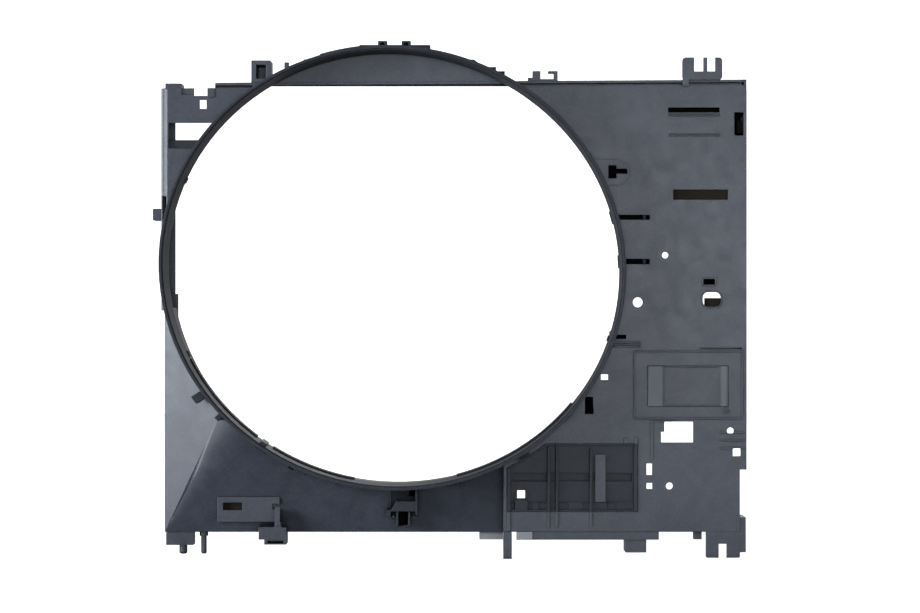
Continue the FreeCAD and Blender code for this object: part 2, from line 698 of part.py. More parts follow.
def collar_ear():
    """Ear on the right of the collar, with a square hole and a slot for its lug."""
    square = beside_oval(*RING_POCKETS["ear_square"])
    slot = beside_oval(*RING_POCKETS["ear_lug_slot"])
    x = square.x
    z = square.z
    points = [(x - 40.0, z - 25.0), (x + 2.0, z - 7.0), (x + 13.0, z - 7.0), (x + 21.0, z + 2.0),
              (x + 21.0, z + 13.0), (x + 9.0, z + 19.0), (x - 40.0, z + 19.0)]
    y = (FRONT - 5.0, FRONT + PAST)
    return plate(points, (FRONT - 2.0, FRONT)).cut([oval(1.0, (y[0], 0)), over(square, y), over(slot, y)])


def collar_ledges():
    """Ledges and stops that follow the collar's outer face: direction, length, height and depths."""
    near = (LIP_PLANE + 12.0, FRONT - 8.0)
    low = (FRONT - 14.0, FRONT)
    spots = [
        (103.6, 40.0, 3.2, near), (-126.5, 15.0, 6.0, low), (-115.5, 18.0, 7.0, low), (-105.0, 4.0, 6.0, low),
        (-71.0, 16.0, 7.5, low), (-55.2, 11.0, 6.5, low), (-40.0, 16.0, 3.0, low),
    ]
    ledges = []
    for degrees, along, out, y in spots:
        ledges.append(radial_block(degrees, along, 1.0, COLLAR_WALL + out, y))
    return ledges


def crown_steps():
    """Upright wedge and two steps on the collar, right of its top."""
    x, z = oval_point(68.0, COLLAR_WALL)
    y = (LIP_PLANE + 8.0, FRONT - 10.0)
    wedge = [(x - 12.2, z - 20.0), (x - 12.2, z + 3.6), (x - 1.4, z + 3.6), (x + 12.6, z - 7.0), (x + 12.6, z - 20.0)]
    steps = [plate(wedge, y)]
    for start, top in ((12.4, -3.8), (21.0, -7.9)):
        steps.append(box((x + start, x + start + 8.0), y, (z - 26.0, z + top)))
    return [step.cut(oval(1.0, (y[0] - PAST, y[1] + PAST))) for step in steps]


def collar_pegs():
    """Two pegs at the lower left that reach down towards the slope."""
    y = (LIP_PLANE + 20.0, FRONT + 8.0)
    pegs = [
        radial_block(-146.5, 8.0, 1.0, COLLAR_WALL + 14.0, y),
        radial_block(-139.5, 5.0, 1.0, COLLAR_WALL + 9.0, y),
    ]
    below = [frame_block(0, (FRONT, 0)), oval(COLLAR_WALL + CLEARANCE, (FRONT, 0))]
    return [peg.cut(below) for peg in pegs]


def collar_lip(start, end):
    """Lip strip along the collar's inner face, between two directions."""
    y = (FRONT - LIP_HEIGHT, FRONT)
    ring = oval_ring(-LIP_GAP - LIP_THICKNESS, -LIP_GAP, y)
    return ring.common(sector(start, end, (y[0] - PAST, y[1] + PAST)))


def collar_clips():
    """Small clips that grip the collar's inner edge and one that fills the gap of the lip, as separate solids."""
    clips = []
    for degrees in (-18.0, -157.5, -203.0):
        clips.append(radial_block(degrees, 6.0, -1.6, 1.3, (FRONT - 6.7, FRONT - CLEARANCE)))
    clips.append(radial_block(-126.4, 7.0, -3.2, 0, (LIP_PLANE + 4.0, FRONT - 9.0)))
    return Part.makeCompound(clips)


def hose_bracket():
    """Plate with two square eyes, seated on the collar's top."""
    z = CROWN + COLLAR_WALL
    y = (LIP_PLANE + 14.0, FRONT - 12.0)
    x = (-33.0, 37.0)
    base = box(x, y, (z - 12.0, z + 3.2))
    eyes = []
    holes = []
    for centre in (-10.2, 13.1):
        eyes.append(box((centre - 4.5, centre + 4.5), (y[0], y[0] + 12.0), (z, z + 7.2)))
        holes.append(drill(centre, z + 3.6, EYE_RADIUS, (y[0] - PAST, y[0] + 10.0)))
    return fused([base] + eyes).cut(holes + [oval(COLLAR_WALL + LIP_GAP, (LIP_PLANE, FRONT))])


def connector_socket():
    """Box socket with a deep pocket open to the front, on the top wall at the left."""
    x = crossing(-1, COLLAR_WALL) - 19.7
    y = (FRONT + 2.0, FRONT + 30.0)
    low = top_at(x, y[1]) - 12.0
    high = TOP + 19.5
    body = box((x, x + 19.3), y, (low, high))
    step = box((x + 19.3, x + 33.0), (y[0], y[0] + 12.0), (low, high - 13.6))
    body = fused([body, step]).cut(frame_block(0, (FRONT, 0)))
    hollow = box((x + 4.9, x + 14.8), (y[0] - PAST, y[1] - 3.0), (top_at(x, y[1]) + 1.0, high - 4.4))
    return body.cut(hollow)


def post_bracket():
    """Post and tab on a foot that follows the top wall, between the socket and the collar."""
    x = crossing(-1, COLLAR_WALL) + 13.4
    y = (FRONT + 2.5, FRONT + 12.0)
    low = top_at(x, y[0]) - 6.0
    high = TOP + 17.6
    foot = box((x, x + 30.0), y, (low, high - 11.0))
    post = box((x, x + 4.2), y, (low, high))
    step = box((x, x + 13.0), y, (low, high - 5.5))
    tab = box((x + 19.3, x + 26.2), y, (low, high + 3.0))
    body = fused([foot, post, step, tab])
    return body.cut([frame_block(0, (FRONT, 0)), oval(COLLAR_WALL + 1.0, (FRONT, PANEL_BACK + 0.3))])


def harness_clip():
    """Open cable clip on the top wall: block, base and hooked post."""
    x = crossing(1, COLLAR_WALL) + 26.5
    y = (FRONT, FRONT + 12.0)
    low = top_at(x, y[0]) - 6.0
    high = TOP + 8.6
    pieces = [
        box((x, x + 7.8), y, (low, high)),
        box((x - 4.6, x + 1.0), y, (low, TOP + 2.0)),
        box((x, x + 25.0), y, (low, TOP + 0.6)),
        box((x + 21.2, x + 25.0), y, (low, high)),
        box((x + 15.6, x + 25.0), y, (high - 1.8, high)),
    ]
    return fused(pieces).cut(frame_block(0, (FRONT, 0)))


def upper_fork():
    """Comb bracket with two open slots, standing on the panel's top right."""
    x = RIGHT - 64.6
    y = (FRONT - 3.0, FRONT)
    low = TOP - 0.5
    high = TOP + 21.9
    slot_low = TOP + 7.9
    plate_body = rounded_box((x, x + 39.9), y, (low, high), 3.5)
    leg = box((x + 0.4, x + 6.6), y, (low - 6.4, low + 6.0))
    back = box((x + 2.0, x + 37.0), (FRONT, FRONT + 14.0), (low, low + 5.0))
    gussets = []
    for offset in (4.0, 34.0):
        gussets.append(beam([(FRONT, low), (FRONT, high - 6.0), (FRONT + 14.0, low + 4.0), (FRONT + 14.0, low)],
                            (x + offset, x + offset + RIB)))
    slots = [
        box((x + 11.8, x + 21.1), (y[0] - PAST, FRONT + 20.0), (slot_low, high + PAST)),
        box((x + 24.9, x + 32.9), (y[0] - PAST, FRONT + 20.0), (slot_low, high + PAST)),
    ]
    body = fused([plate_body, leg, back] + gussets)
    return body.cut([frame_block(0, (FRONT, 0))] + slots)


def under_frame(shape):
    """Piece under the bottom wall, trimmed to the wall's outer face."""
    return shape.cut(frame_block(0, (FRONT, 0)))


def lower_fork():
    """Fork foot with one open slot at the bottom right."""
    x = RIGHT - 40.7
    y = (FRONT, FRONT + 4.0)
    low = BOTTOM - 26.2
    body = fused([
        rounded_box((x, x + 34.0), y, (low, BOTTOM + 3.0), 1.5),
        box((x + 2.0, x + 32.0), (FRONT + 4.0, FRONT + 20.0), (BOTTOM - 7.0, BOTTOM + 3.0)),
    ])
    slot = box((x + 12.7, x + 20.8), (y[0] - PAST, FRONT + 30.0), (low - PAST, BOTTOM - 12.3))
    return under_frame(body.cut(slot))


def edge_strip():
    """Narrow strip in the step of the right edge, beside the lower fork."""
    x = (RIGHT - STEP_WIDTH, RIGHT - STEP_WIDTH + 6.0)
    return fused([
        box(x, (FRONT, FRONT + 10.0), (BOTTOM - 20.7, BOTTOM + 14.3)),
        box(x, (FRONT, FRONT + 30.0), (BOTTOM + 2.0, BOTTOM + 14.3)),
    ])


def support_foot():
    """Square foot under the bottom wall."""
    x = RIGHT - 121.4
    body = rounded_box((x, x + 21.4), (FRONT + 4.0, FRONT + 24.0), (BOTTOM - 21.4, BOTTOM + 3.0), 1.2)
    return under_frame(body)


def air_deflector():
    """Lip below the bottom wall."""
    x = (TRAY_LEFT + 9.5, RIGHT - 87.7)
    y = (FRONT + 1.0, FRONT + 4.0)
    return under_frame(box(x, y, (BOTTOM - 8.3, BOTTOM + 3.0)))


def guide_leg():
    """Leg that reaches down from the bottom wall in line with the carrier's left side."""
    x = TRAY_LEFT - 3.6
    y = (FRONT + 1.0, FRONT + 9.0)
    return under_frame(box((x, x + 8.6), y, (BOTTOM - 27.5, BOTTOM + 3.0)))


def corner_bracket():
    """Bracket under the bottom wall at the left, with the first locating pin."""
    x = LEFT + 1.2
    y = (-RIM_DEPTH + 1.0, -3.0)
    low = BOTTOM - BRACKET_DROP
    high = BOTTOM + 3.0
    face = box((x, x + 27.8), (y[0], y[0] + 2.5), (low, high))
    cheeks = [box((x + side, x + side + 2.2), y, (low, high)) for side in (0.0, 25.6)]
    pin = locating_pin_at(x + 16.6, PIN_RADIUS, low)
    web = box((x + 15.6, x + 17.6), (y[0], PIN_DEPTH), (low, high))
    return under_frame(fused([face, pin, web] + cheeks))


def locating_pin_at(x, radius, boss_low):
    """Upright pin with a conical tip and a thicker root, to be trimmed to the bottom wall."""
    low = BOTTOM - PIN_DROP
    shaft = Part.makeCylinder(radius, PIN_DROP + 3.0, Vector(x, PIN_DEPTH, low))
    tip = Part.makeCone(radius - PIN_CHAMFER, radius, PIN_CHAMFER, Vector(x, PIN_DEPTH, low - PIN_CHAMFER))
    root = Part.makeCylinder(radius + PIN_BOSS, BOTTOM + 3.0 - boss_low, Vector(x, PIN_DEPTH, boss_low))
    return shaft.multiFuse([tip, root])


def locating_pin():
    """Second locating pin, slimmer than the bracket's."""
    return under_frame(locating_pin_at(LEFT + 38.7, SLIM_PIN_RADIUS, BOTTOM - SLIM_BOSS_DROP))


def spring_latch():
    """Spring blade at the end of the upright pad, carried down to a slotted foot."""
    x = LEFT + 113.7
    y = (PAD_FACE - 13.0, PAD_FACE)
    blade = box((x, x + 2.6), y, (BOTTOM + 5.0, BOTTOM + 21.0))
    head = box((x, x + 5.1), (y[0], y[0] + 4.0), (BOTTOM + 5.0, BOTTOM + 24.0))
    drop = box((x - 1.0, x + 6.0), (y[0] + 6.0, PAD_FACE + 3.0), (BOTTOM - 14.4, BOTTOM + 8.0))
    foot = box((x - 17.0, x + 10.8), (PAD_FACE - 7.0, -14.0), (BOTTOM - 9.4, BOTTOM + 3.0))
    toe = box((x - 11.4, x + 10.8), (PAD_FACE - 7.0, -14.0), (BOTTOM - 14.4, BOTTOM - 9.0))
    slot = box((x - 8.0, x + 8.0), (PAD_FACE - 8.0, -20.0), (BOTTOM - 13.2, BOTTOM - 10.4))
    body = fused([blade, head, drop, foot, toe]).cut(slot)
    return body.cut([frame_block(0, (FRONT, 0)), slope_pad()])


def tray_place(start, width, low, height):
    """A window that is given from the tray's low left corner, in the frame's own coordinates."""
    return Window(TRAY_LEFT + start, TRAY_LOW + low, width, height)


def carrier_tray():
    """Shallow ribbed tray with a deep cross channel, set into a shelf of the frame."""
    floor = FRONT + TRAY_DEPTH
    raised = (FRONT - RIB_PROUD, floor)
    low = (floor - 1.4, floor)
    shell = tray_block(-CLEARANCE, (FRONT, floor + TRAY_SKIN))
    shell = shell.cut(tray_block(-CLEARANCE - TRAY_WALL, (FRONT - PAST, floor)))
    channel = tray_place(0, TRAY_WIDTH, 30.4, 8.2)
    duct = over(channel, (floor, FRONT + CHANNEL_DEPTH + TRAY_SKIN), TRAY_SKIN)
    duct = duct.common(tray_block(-TRAY_SHELF - CLEARANCE, (FRONT, 0)))
    hollow = over(channel, (floor - PAST, FRONT + CHANNEL_DEPTH))
    hollow = hollow.common(tray_block(-TRAY_SHELF - CLEARANCE - TRAY_SKIN, (FRONT, 0)))
    ribs = [
        over(tray_place(0, 1.6 * RIB, 0, 43.5), raised),
        over(tray_place(TRAY_WIDTH - 1.6 * RIB, 1.6 * RIB, 0, TRAY_HEIGHT), raised),
    ]
    for start, high in zip(TRAY_RIBS, (65.5, TRAY_HEIGHT, 63.5)):
        ribs.append(over(tray_place(start, RIB, 0, high), raised))
    sill = over(tray_place(0, TRAY_WIDTH, 0, TRAY_SILL), low)
    cells = []
    for start, width in ((3.9, 3.6), (22.0, 4.0), (32.0, 7.6), (52.0, 10.0), (76.0, 6.4), (100.2, 10.0)):
        cells.append(over(tray_place(start, width, 0.9, 8.0), low))
    sill = sill.cut(cells)
    step = over(tray_place(8.2, 12.4, 0, 12.0), (FRONT + 0.6, floor))
    stops = [over(tray_place(start, 2.2, 13.0, 6.0), (floor - 2.4, floor)) for start in (7.6, 18.9)]
    window = over(tray_place(10.4, 7.9, 13.4, 7.9), (FRONT - PAST, floor + TRAY_SKIN + PAST))
    raised_parts = [part.common(tray_block(-CLEARANCE, (FRONT - 5.0, floor))) for part in ribs + [sill, step] + stops]
    return fused([fused([shell, duct]).cut(hollow)] + raised_parts).cut(window)


def tray_lock_bar():
    """Flat bar beside the carrier's third rib."""
    place = tray_place(88.4, 10.4, TRAY_SILL + CLEARANCE, 47.4)
    floor = FRONT + TRAY_DEPTH
    return over(place, (FRONT + 0.3, floor))


def tray_neighbours():
    """Small boss and rib end on the panel, just above the tray."""
    top = TRAY_LOW + TRAY_HEIGHT
    x = TRAY_LEFT + TRAY_WIDTH
    return [
        box((x - 13.8, x - 9.8), (FRONT - 3.0, FRONT), (top, top + 5.6)),
        box((x - 1.6 * RIB, x), (FRONT - RIB_PROUD, FRONT), (top, top + 6.4)),
    ]


def cover_plate():
    """Plate in the framed pad."""
    x = RIGHT - PAD_FROM_RIGHT + COVER_MARGIN_LEFT
    z = BOTTOM + PAD_FROM_BOTTOM + COVER_MARGIN_LOW
    y = (FRONT + PAD_SINK, FRONT + PAD_SINK + COVER_THICKNESS)
    body = box((x, x + COVER_WIDTH), y, (z, z + COVER_HEIGHT))
    sunk = box((x + 16.0, x + COVER_WIDTH - 8.5), (y[0] - PAST, y[0] + 0.6), (z + 1.2, z + COVER_HEIGHT - 1.2))
    return body.cut(sunk)


def bottom_clip():
    """Clip below the collar, pushed into a window of the bottom slope."""
    x = (CLIP_LEFT + CLEARANCE, CLIP_LEFT + 28.0 - CLEARANCE)
    z = (BOTTOM + 12.0 + CLEARANCE, BOTTOM + 41.5 - CLEARANCE)
    body = beam([(slope_front(z[0]) - 0.4, z[0]), (slope_front(z[1]) - 0.4, z[1]), (-19.0, z[1]), (-19.0, z[0])], x)
    low = BOTTOM + 19.6
    high = BOTTOM + 29.6
    y = (FRONT + 6.0, -RIM_DEPTH)
    hump = plate([(x[0], low), (x[0] + 3.0, low + 4.0), (x[0] + 6.0, high), (x[1], high), (x[1], low)], y)
    rib = box((x[1] - 2.0, x[1]), (y[0] - 2.0, y[1]), (low - 3.0, z[1]))
    blade = box((x[0] - 4.0, x[0] + 0.5), (y[0] + 2.0, y[1]), (low - 8.0, low + 1.0))
    lower = box((CLIP_LEFT + 6.3, CLIP_LEFT + 20.3), (y[0] + 3.0, y[1]), (low - 15.6, low + 1.0))
    outside = fused([hump, rib, blade, lower]).cut(frame_block(0, (FRONT, 0)))
    holes = [
        box((CLIP_LEFT + 8.3, CLIP_LEFT + 18.3), (FRONT, -28.0), (low - 14.0, low)),
        box((CLIP_LEFT + 19.0, CLIP_LEFT + 25.4), (FRONT, -22.0), (high + 3.6, high + 11.0)),
    ]
    return fused([body, outside]).cut(holes + [oval(COLLAR_WALL + CLEARANCE, (FRONT, 0))])


def side_lug():
    """Block on the left wall."""
    return rounded_box((LEFT - 8.7, LEFT), (FRONT + 5.0, FRONT + 24.0), (TOP - 140.6, TOP - 128.8), 1.0)


def foam_blocks():
    """Foam blocks behind the slot, the oblong hole and the window of the upright pad."""
    y = (PANEL_BACK, PANEL_BACK + FOAM_THICKNESS)
    slot = from_right(MIDDLE_WINDOWS["foam_slot"], 0.0)
    upper = box((slot.x - 4.0, slot.x + slot.width + 4.0), y, (slot.z - 4.0, slot.z + 14.0))
    middle = box((RIGHT - 41.5, RIGHT - 22.9), y, (-42.2, -29.4))
    lower = box((LEFT + 57.0, LEFT + 83.0), (PAD_FACE, -14.0), (BOTTOM + 16.0, BOTTOM + 31.0))
    return {
        "foam_upper": upper,
        "foam_middle": middle,
        "foam_lower": lower.common(frame_block(WALL, (PANEL_BACK, 0))),
    }


def panel_clips():
    """Clips under the bottom wall, two near the rear flange and one on the deflector."""
    clips = []
    z = bottom_at(-8.0)
    for start, width in ((TRAY_LEFT - 27.2, 24.0), (RIGHT - 49.0, 8.0)):
        clip = box((start, start + width), (-14.0, -4.0), (z - 7.0, z + 5.0))
        clips.append(clip.cut(frame_block(0, (FRONT, 0))))
    clips.append(box((TRAY_LEFT + 9.5, TRAY_LEFT + 25.5), (FRONT, FRONT + 1.0), (BOTTOM - 8.3, BOTTOM - 0.3)))
    return Part.makeCompound(clips)


def seal_strips():
    """Four foam strips on the rear flange, which bear on the radiator."""
    y = (0, SEAL_THICKNESS)
    x = (LEFT + 1.0, RIGHT + FLARE - 1.0)
    z = (BOTTOM - FLARE + 1.0, flange_top() + CLEARANCE + UPPER_SEAL_WIDTH)
    low_end = RIGHT - STEP_WIDTH - 1.0
    notch_end = LEFT + 55.0
    step_top = BOTTOM + STEP_HEIGHT
    return {
        "seal_left": box((x[0], x[0] + SEAL_WIDTH), y, (z[0], NOTCH_LEVEL - 1.4)),
        "seal_right": box((x[1] - RIGHT_SEAL_WIDTH, x[1]), y, (step_top, z[1])),
        "seal_bottom": box((x[0] + SEAL_WIDTH, low_end), y, (z[0], z[0] + SEAL_WIDTH)),
        "seal_upper": box((notch_end, x[1] - RIGHT_SEAL_WIDTH), y, (z[1] - UPPER_SEAL_WIDTH, z[1])),
    }


def build():
    """All pieces by name."""
    pieces = {
        "main_frame": main_frame(),
        "top_hood": top_hood(),
        "fan_collar": fan_collar(),
        "collar_lip_right": collar_lip(-73.0, -37.0),
        "collar_lip_bottom": collar_lip(-124.0, -100.5),
        "collar_lip_left": collar_lip(-156.0, -129.0),
        "collar_clips": collar_clips(),
        "hose_bracket": hose_bracket(),
        "connector_socket": connector_socket(),
        "post_bracket": post_bracket(),
        "harness_clip": harness_clip(),
        "upper_fork": upper_fork(),
        "lower_fork": lower_fork(),
        "edge_strip": edge_strip(),
        "support_foot": support_foot(),
        "air_deflector": air_deflector(),
        "guide_leg": guide_leg(),
        "corner_bracket": corner_bracket(),
        "locating_pin": locating_pin(),
        "spring_latch": spring_latch(),
        "carrier_tray": carrier_tray(),
        "tray_lock_bar": tray_lock_bar(),
        "cover_plate": cover_plate(),
        "bottom_clip": bottom_clip(),
        "side_lug": side_lug(),
        "panel_clips": panel_clips(),
    }
    pieces.update(foam_blocks())
    pieces.update(seal_strips())
    return pieces


def main():
    """Write one file per piece and report each piece's solids."""
    os.makedirs("parts", exist_ok=True)
    for name, shape in build().items():
        shape.exportStep("parts/" + name + ".step")
        bounds = shape.BoundBox
        print(f"{name}: {len(shape.Solids)} solids, valid {shape.isValid()}, {shape.Volume / 1000:.1f} cm3, "
              f"X {bounds.XMin:.1f}..{bounds.XMax:.1f} Y {bounds.YMin:.1f}..{bounds.YMax:.1f} "
              f"Z {bounds.ZMin:.1f}..{bounds.ZMax:.1f}")


main()
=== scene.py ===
"""Looks of a moulded radiator fan shroud, dressed over its packed construction model.

Lengths are in metres, in the construction's own frame: X to the right and Z up as seen from the engine,
Y from the engine to the radiator.
"""

import json
import logging
from dataclasses import dataclass, field
from enum import Enum
from typing import Any

import bpy
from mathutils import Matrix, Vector

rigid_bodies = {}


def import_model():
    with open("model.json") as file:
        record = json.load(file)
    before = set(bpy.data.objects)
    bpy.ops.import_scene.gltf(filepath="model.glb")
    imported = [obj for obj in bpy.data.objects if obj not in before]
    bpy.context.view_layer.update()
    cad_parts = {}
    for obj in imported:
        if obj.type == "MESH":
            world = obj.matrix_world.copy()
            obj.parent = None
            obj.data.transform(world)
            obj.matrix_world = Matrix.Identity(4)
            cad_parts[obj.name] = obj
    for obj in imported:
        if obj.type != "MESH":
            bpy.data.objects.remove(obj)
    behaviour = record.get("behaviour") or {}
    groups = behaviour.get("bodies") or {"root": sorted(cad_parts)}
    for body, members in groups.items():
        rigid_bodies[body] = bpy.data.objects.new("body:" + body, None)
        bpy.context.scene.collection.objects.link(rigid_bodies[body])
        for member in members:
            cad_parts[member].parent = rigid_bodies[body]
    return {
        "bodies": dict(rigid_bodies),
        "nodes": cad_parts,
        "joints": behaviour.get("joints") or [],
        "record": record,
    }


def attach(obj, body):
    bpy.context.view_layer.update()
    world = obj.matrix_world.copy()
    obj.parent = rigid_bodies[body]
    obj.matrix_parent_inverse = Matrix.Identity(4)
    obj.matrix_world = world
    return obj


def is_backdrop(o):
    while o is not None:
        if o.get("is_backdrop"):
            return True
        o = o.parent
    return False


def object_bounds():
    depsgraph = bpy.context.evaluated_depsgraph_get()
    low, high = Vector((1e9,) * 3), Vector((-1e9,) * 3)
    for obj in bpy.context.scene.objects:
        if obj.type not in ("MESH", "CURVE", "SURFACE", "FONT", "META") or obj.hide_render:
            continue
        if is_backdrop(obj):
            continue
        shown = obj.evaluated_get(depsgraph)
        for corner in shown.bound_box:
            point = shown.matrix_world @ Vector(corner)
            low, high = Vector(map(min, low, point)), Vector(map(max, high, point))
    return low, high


LOG = logging.getLogger("shroud")
MM = 0.001
PHOTO_WIDTH = 920
SENSOR_MM = 36.0
FOCAL_PIXELS = 2200.0
CAMERA_MM = (66.3, -2250.0, -37.9)
TARGET_MM = (66.3, 0.0, -37.9)
BYTE = 255.0
WHITE = "#ffffff"
# The sRGB curve: its straight part near black, and the power above it
SRGB_KNEE = 0.04045
SRGB_SLOPE = 12.92
SRGB_OFFSET = 0.055
SRGB_POWER = 2.4
Span = tuple[float, float]


class Gloss(Enum):
    """How the mould's face was finished, as a typical roughness of the moulding."""

    SPARK_ERODED = 0.56
    FINE_GRAIN = 0.38
    SATIN = 0.34
    SOFT = 0.9


def linear(hex_colour: str) -> tuple[float, float, float, float]:
    """Turns an sRGB hex colour into linear values.

    Args:
        hex_colour: Six hex digits after a hash sign.

    Returns:
        Red, green, blue and alpha, as a shader socket takes them.
    """
    parts = [int(hex_colour[start:start + 2], 16) / BYTE for start in (1, 3, 5)]
    red, green, blue = [
        part / SRGB_SLOPE if part <= SRGB_KNEE else ((part + SRGB_OFFSET) / (1.0 + SRGB_OFFSET)) ** SRGB_POWER
        for part in parts
    ]
    return red, green, blue, 1.0


def per_metre(size_mm: float) -> float:
    """Gives the scale at which one cell of a pattern measures size_mm in object coordinates."""
    return 1.0 / (size_mm * MM)


def add_node(
    tree: bpy.types.NodeTree,
    kind: str,
    settings: dict[str, Any] | None = None,
    links: dict[str | int, bpy.types.NodeSocket] | None = None,
    **values: Any,
) -> bpy.types.Node:
    """Adds a shader node with its settings and links.

    Args:
        tree: The node tree that takes the node.
        kind: The node's type name.
        settings: Properties of the node itself, by name.
        links: Sockets that feed its inputs, by the input's name or number.
        **values: Fixed values of its inputs, by name, with _ for a space.

    Returns:
        The new node.
    """
    node = tree.nodes.new(kind)
    for name, value in (settings or {}).items():
        setattr(node, name, value)
    for name, value in values.items():
        node.inputs[name.replace("_", " ")].default_value = value
    for name, socket in (links or {}).items():
        tree.links.new(socket, node.inputs[name])
    return node


def noise(
    tree: bpy.types.NodeTree, place: bpy.types.NodeSocket, size_mm: float, detail: float, rough: float,
    warp: float = 0.0,
) -> bpy.types.NodeSocket:
    """Adds a noise pattern.

    Args:
        tree: The node tree.
        place: Object coordinates.
        size_mm: The size of one cell, in millimetres.
        detail: How many finer layers it has.
        rough: The strength of the finer layers.
        warp: How far the pattern is twisted.

    Returns:
        The pattern's value socket.
    """
    node = add_node(tree, "ShaderNodeTexNoise", links={"Vector": place},
                    Scale=per_metre(size_mm), Detail=detail, Roughness=rough, Distortion=warp)
    return node.outputs["Fac"]


def rescale(
    tree: bpy.types.NodeTree, value: bpy.types.NodeSocket, source: Span, target: Span
) -> bpy.types.NodeSocket:
    """Maps a value from one span to another, held at both ends.

    Args:
        tree: The node tree.
        value: The value socket.
        source: The limits that the value is read between.
        target: What it becomes at these limits.

    Returns:
        The mapped value's socket.
    """
    node = add_node(tree, "ShaderNodeMapRange", links={"Value": value},
                    From_Min=source[0], From_Max=source[1], To_Min=target[0], To_Max=target[1])
    return node.outputs["Result"]


def arithmetic(
    tree: bpy.types.NodeTree,
    operation: str,
    first: bpy.types.NodeSocket,
    second: bpy.types.NodeSocket | float | None = None,
) -> bpy.types.NodeSocket:
    """Adds one step of arithmetic.

    Args:
        tree: The node tree.
        operation: The step's name.
        first: The first value.
        second: The second value, as a socket or a plain number, if the step takes one.

    Returns:
        The result's socket.
    """
    node = add_node(tree, "ShaderNodeMath", {"operation": operation}, {0: first})
    if isinstance(second, float):
        node.inputs[1].default_value = second
    elif second is not None:
        tree.links.new(second, node.inputs[1])
    return node.outputs["Value"]


def blend_colour(
    tree: bpy.types.NodeTree, share: bpy.types.NodeSocket, under: bpy.types.NodeSocket, over: str
) -> bpy.types.NodeSocket:
    """Lays a plain colour over another one.

    Args:
        tree: The node tree.
        share: How much of the plain colour shows.
        under: The colour under it.
        over: The plain colour, as sRGB hex.

    Returns:
        The colour socket.
    """
    node = add_node(tree, "ShaderNodeMix", {"data_type": "RGBA"}, {0: share, 6: under})
    node.inputs[7].default_value = linear(over)
    return node.outputs[2]


def ramp(
    tree: bpy.types.NodeTree, value: bpy.types.NodeSocket, places: Span, colours: tuple[str, str]
) -> bpy.types.NodeSocket:
    """Turns a value into a colour between two.

    Args:
        tree: The node tree.
        value: The value socket.
        places: The values of the pure colours.
        colours: The two colours, as sRGB hex.

    Returns:
        The colour socket.
    """
    node = add_node(tree, "ShaderNodeValToRGB", links={"Fac": value})
    for stop, place, colour in zip(node.color_ramp.elements, places, colours):
        stop.position = place
        stop.color = linear(colour)
    return node.outputs["Color"]


def new_material(name: str) -> tuple[bpy.types.Material, bpy.types.NodeTree, bpy.types.Node]:
    """Makes an empty material.

    Args:
        name: The material's name.

    Returns:
        The material, its node tree and its output node.
    """
    material = bpy.data.materials.new(name)
    material.use_nodes = True
    tree = material.node_tree
    tree.nodes.clear()
    return material, tree, tree.nodes.new("ShaderNodeOutputMaterial")


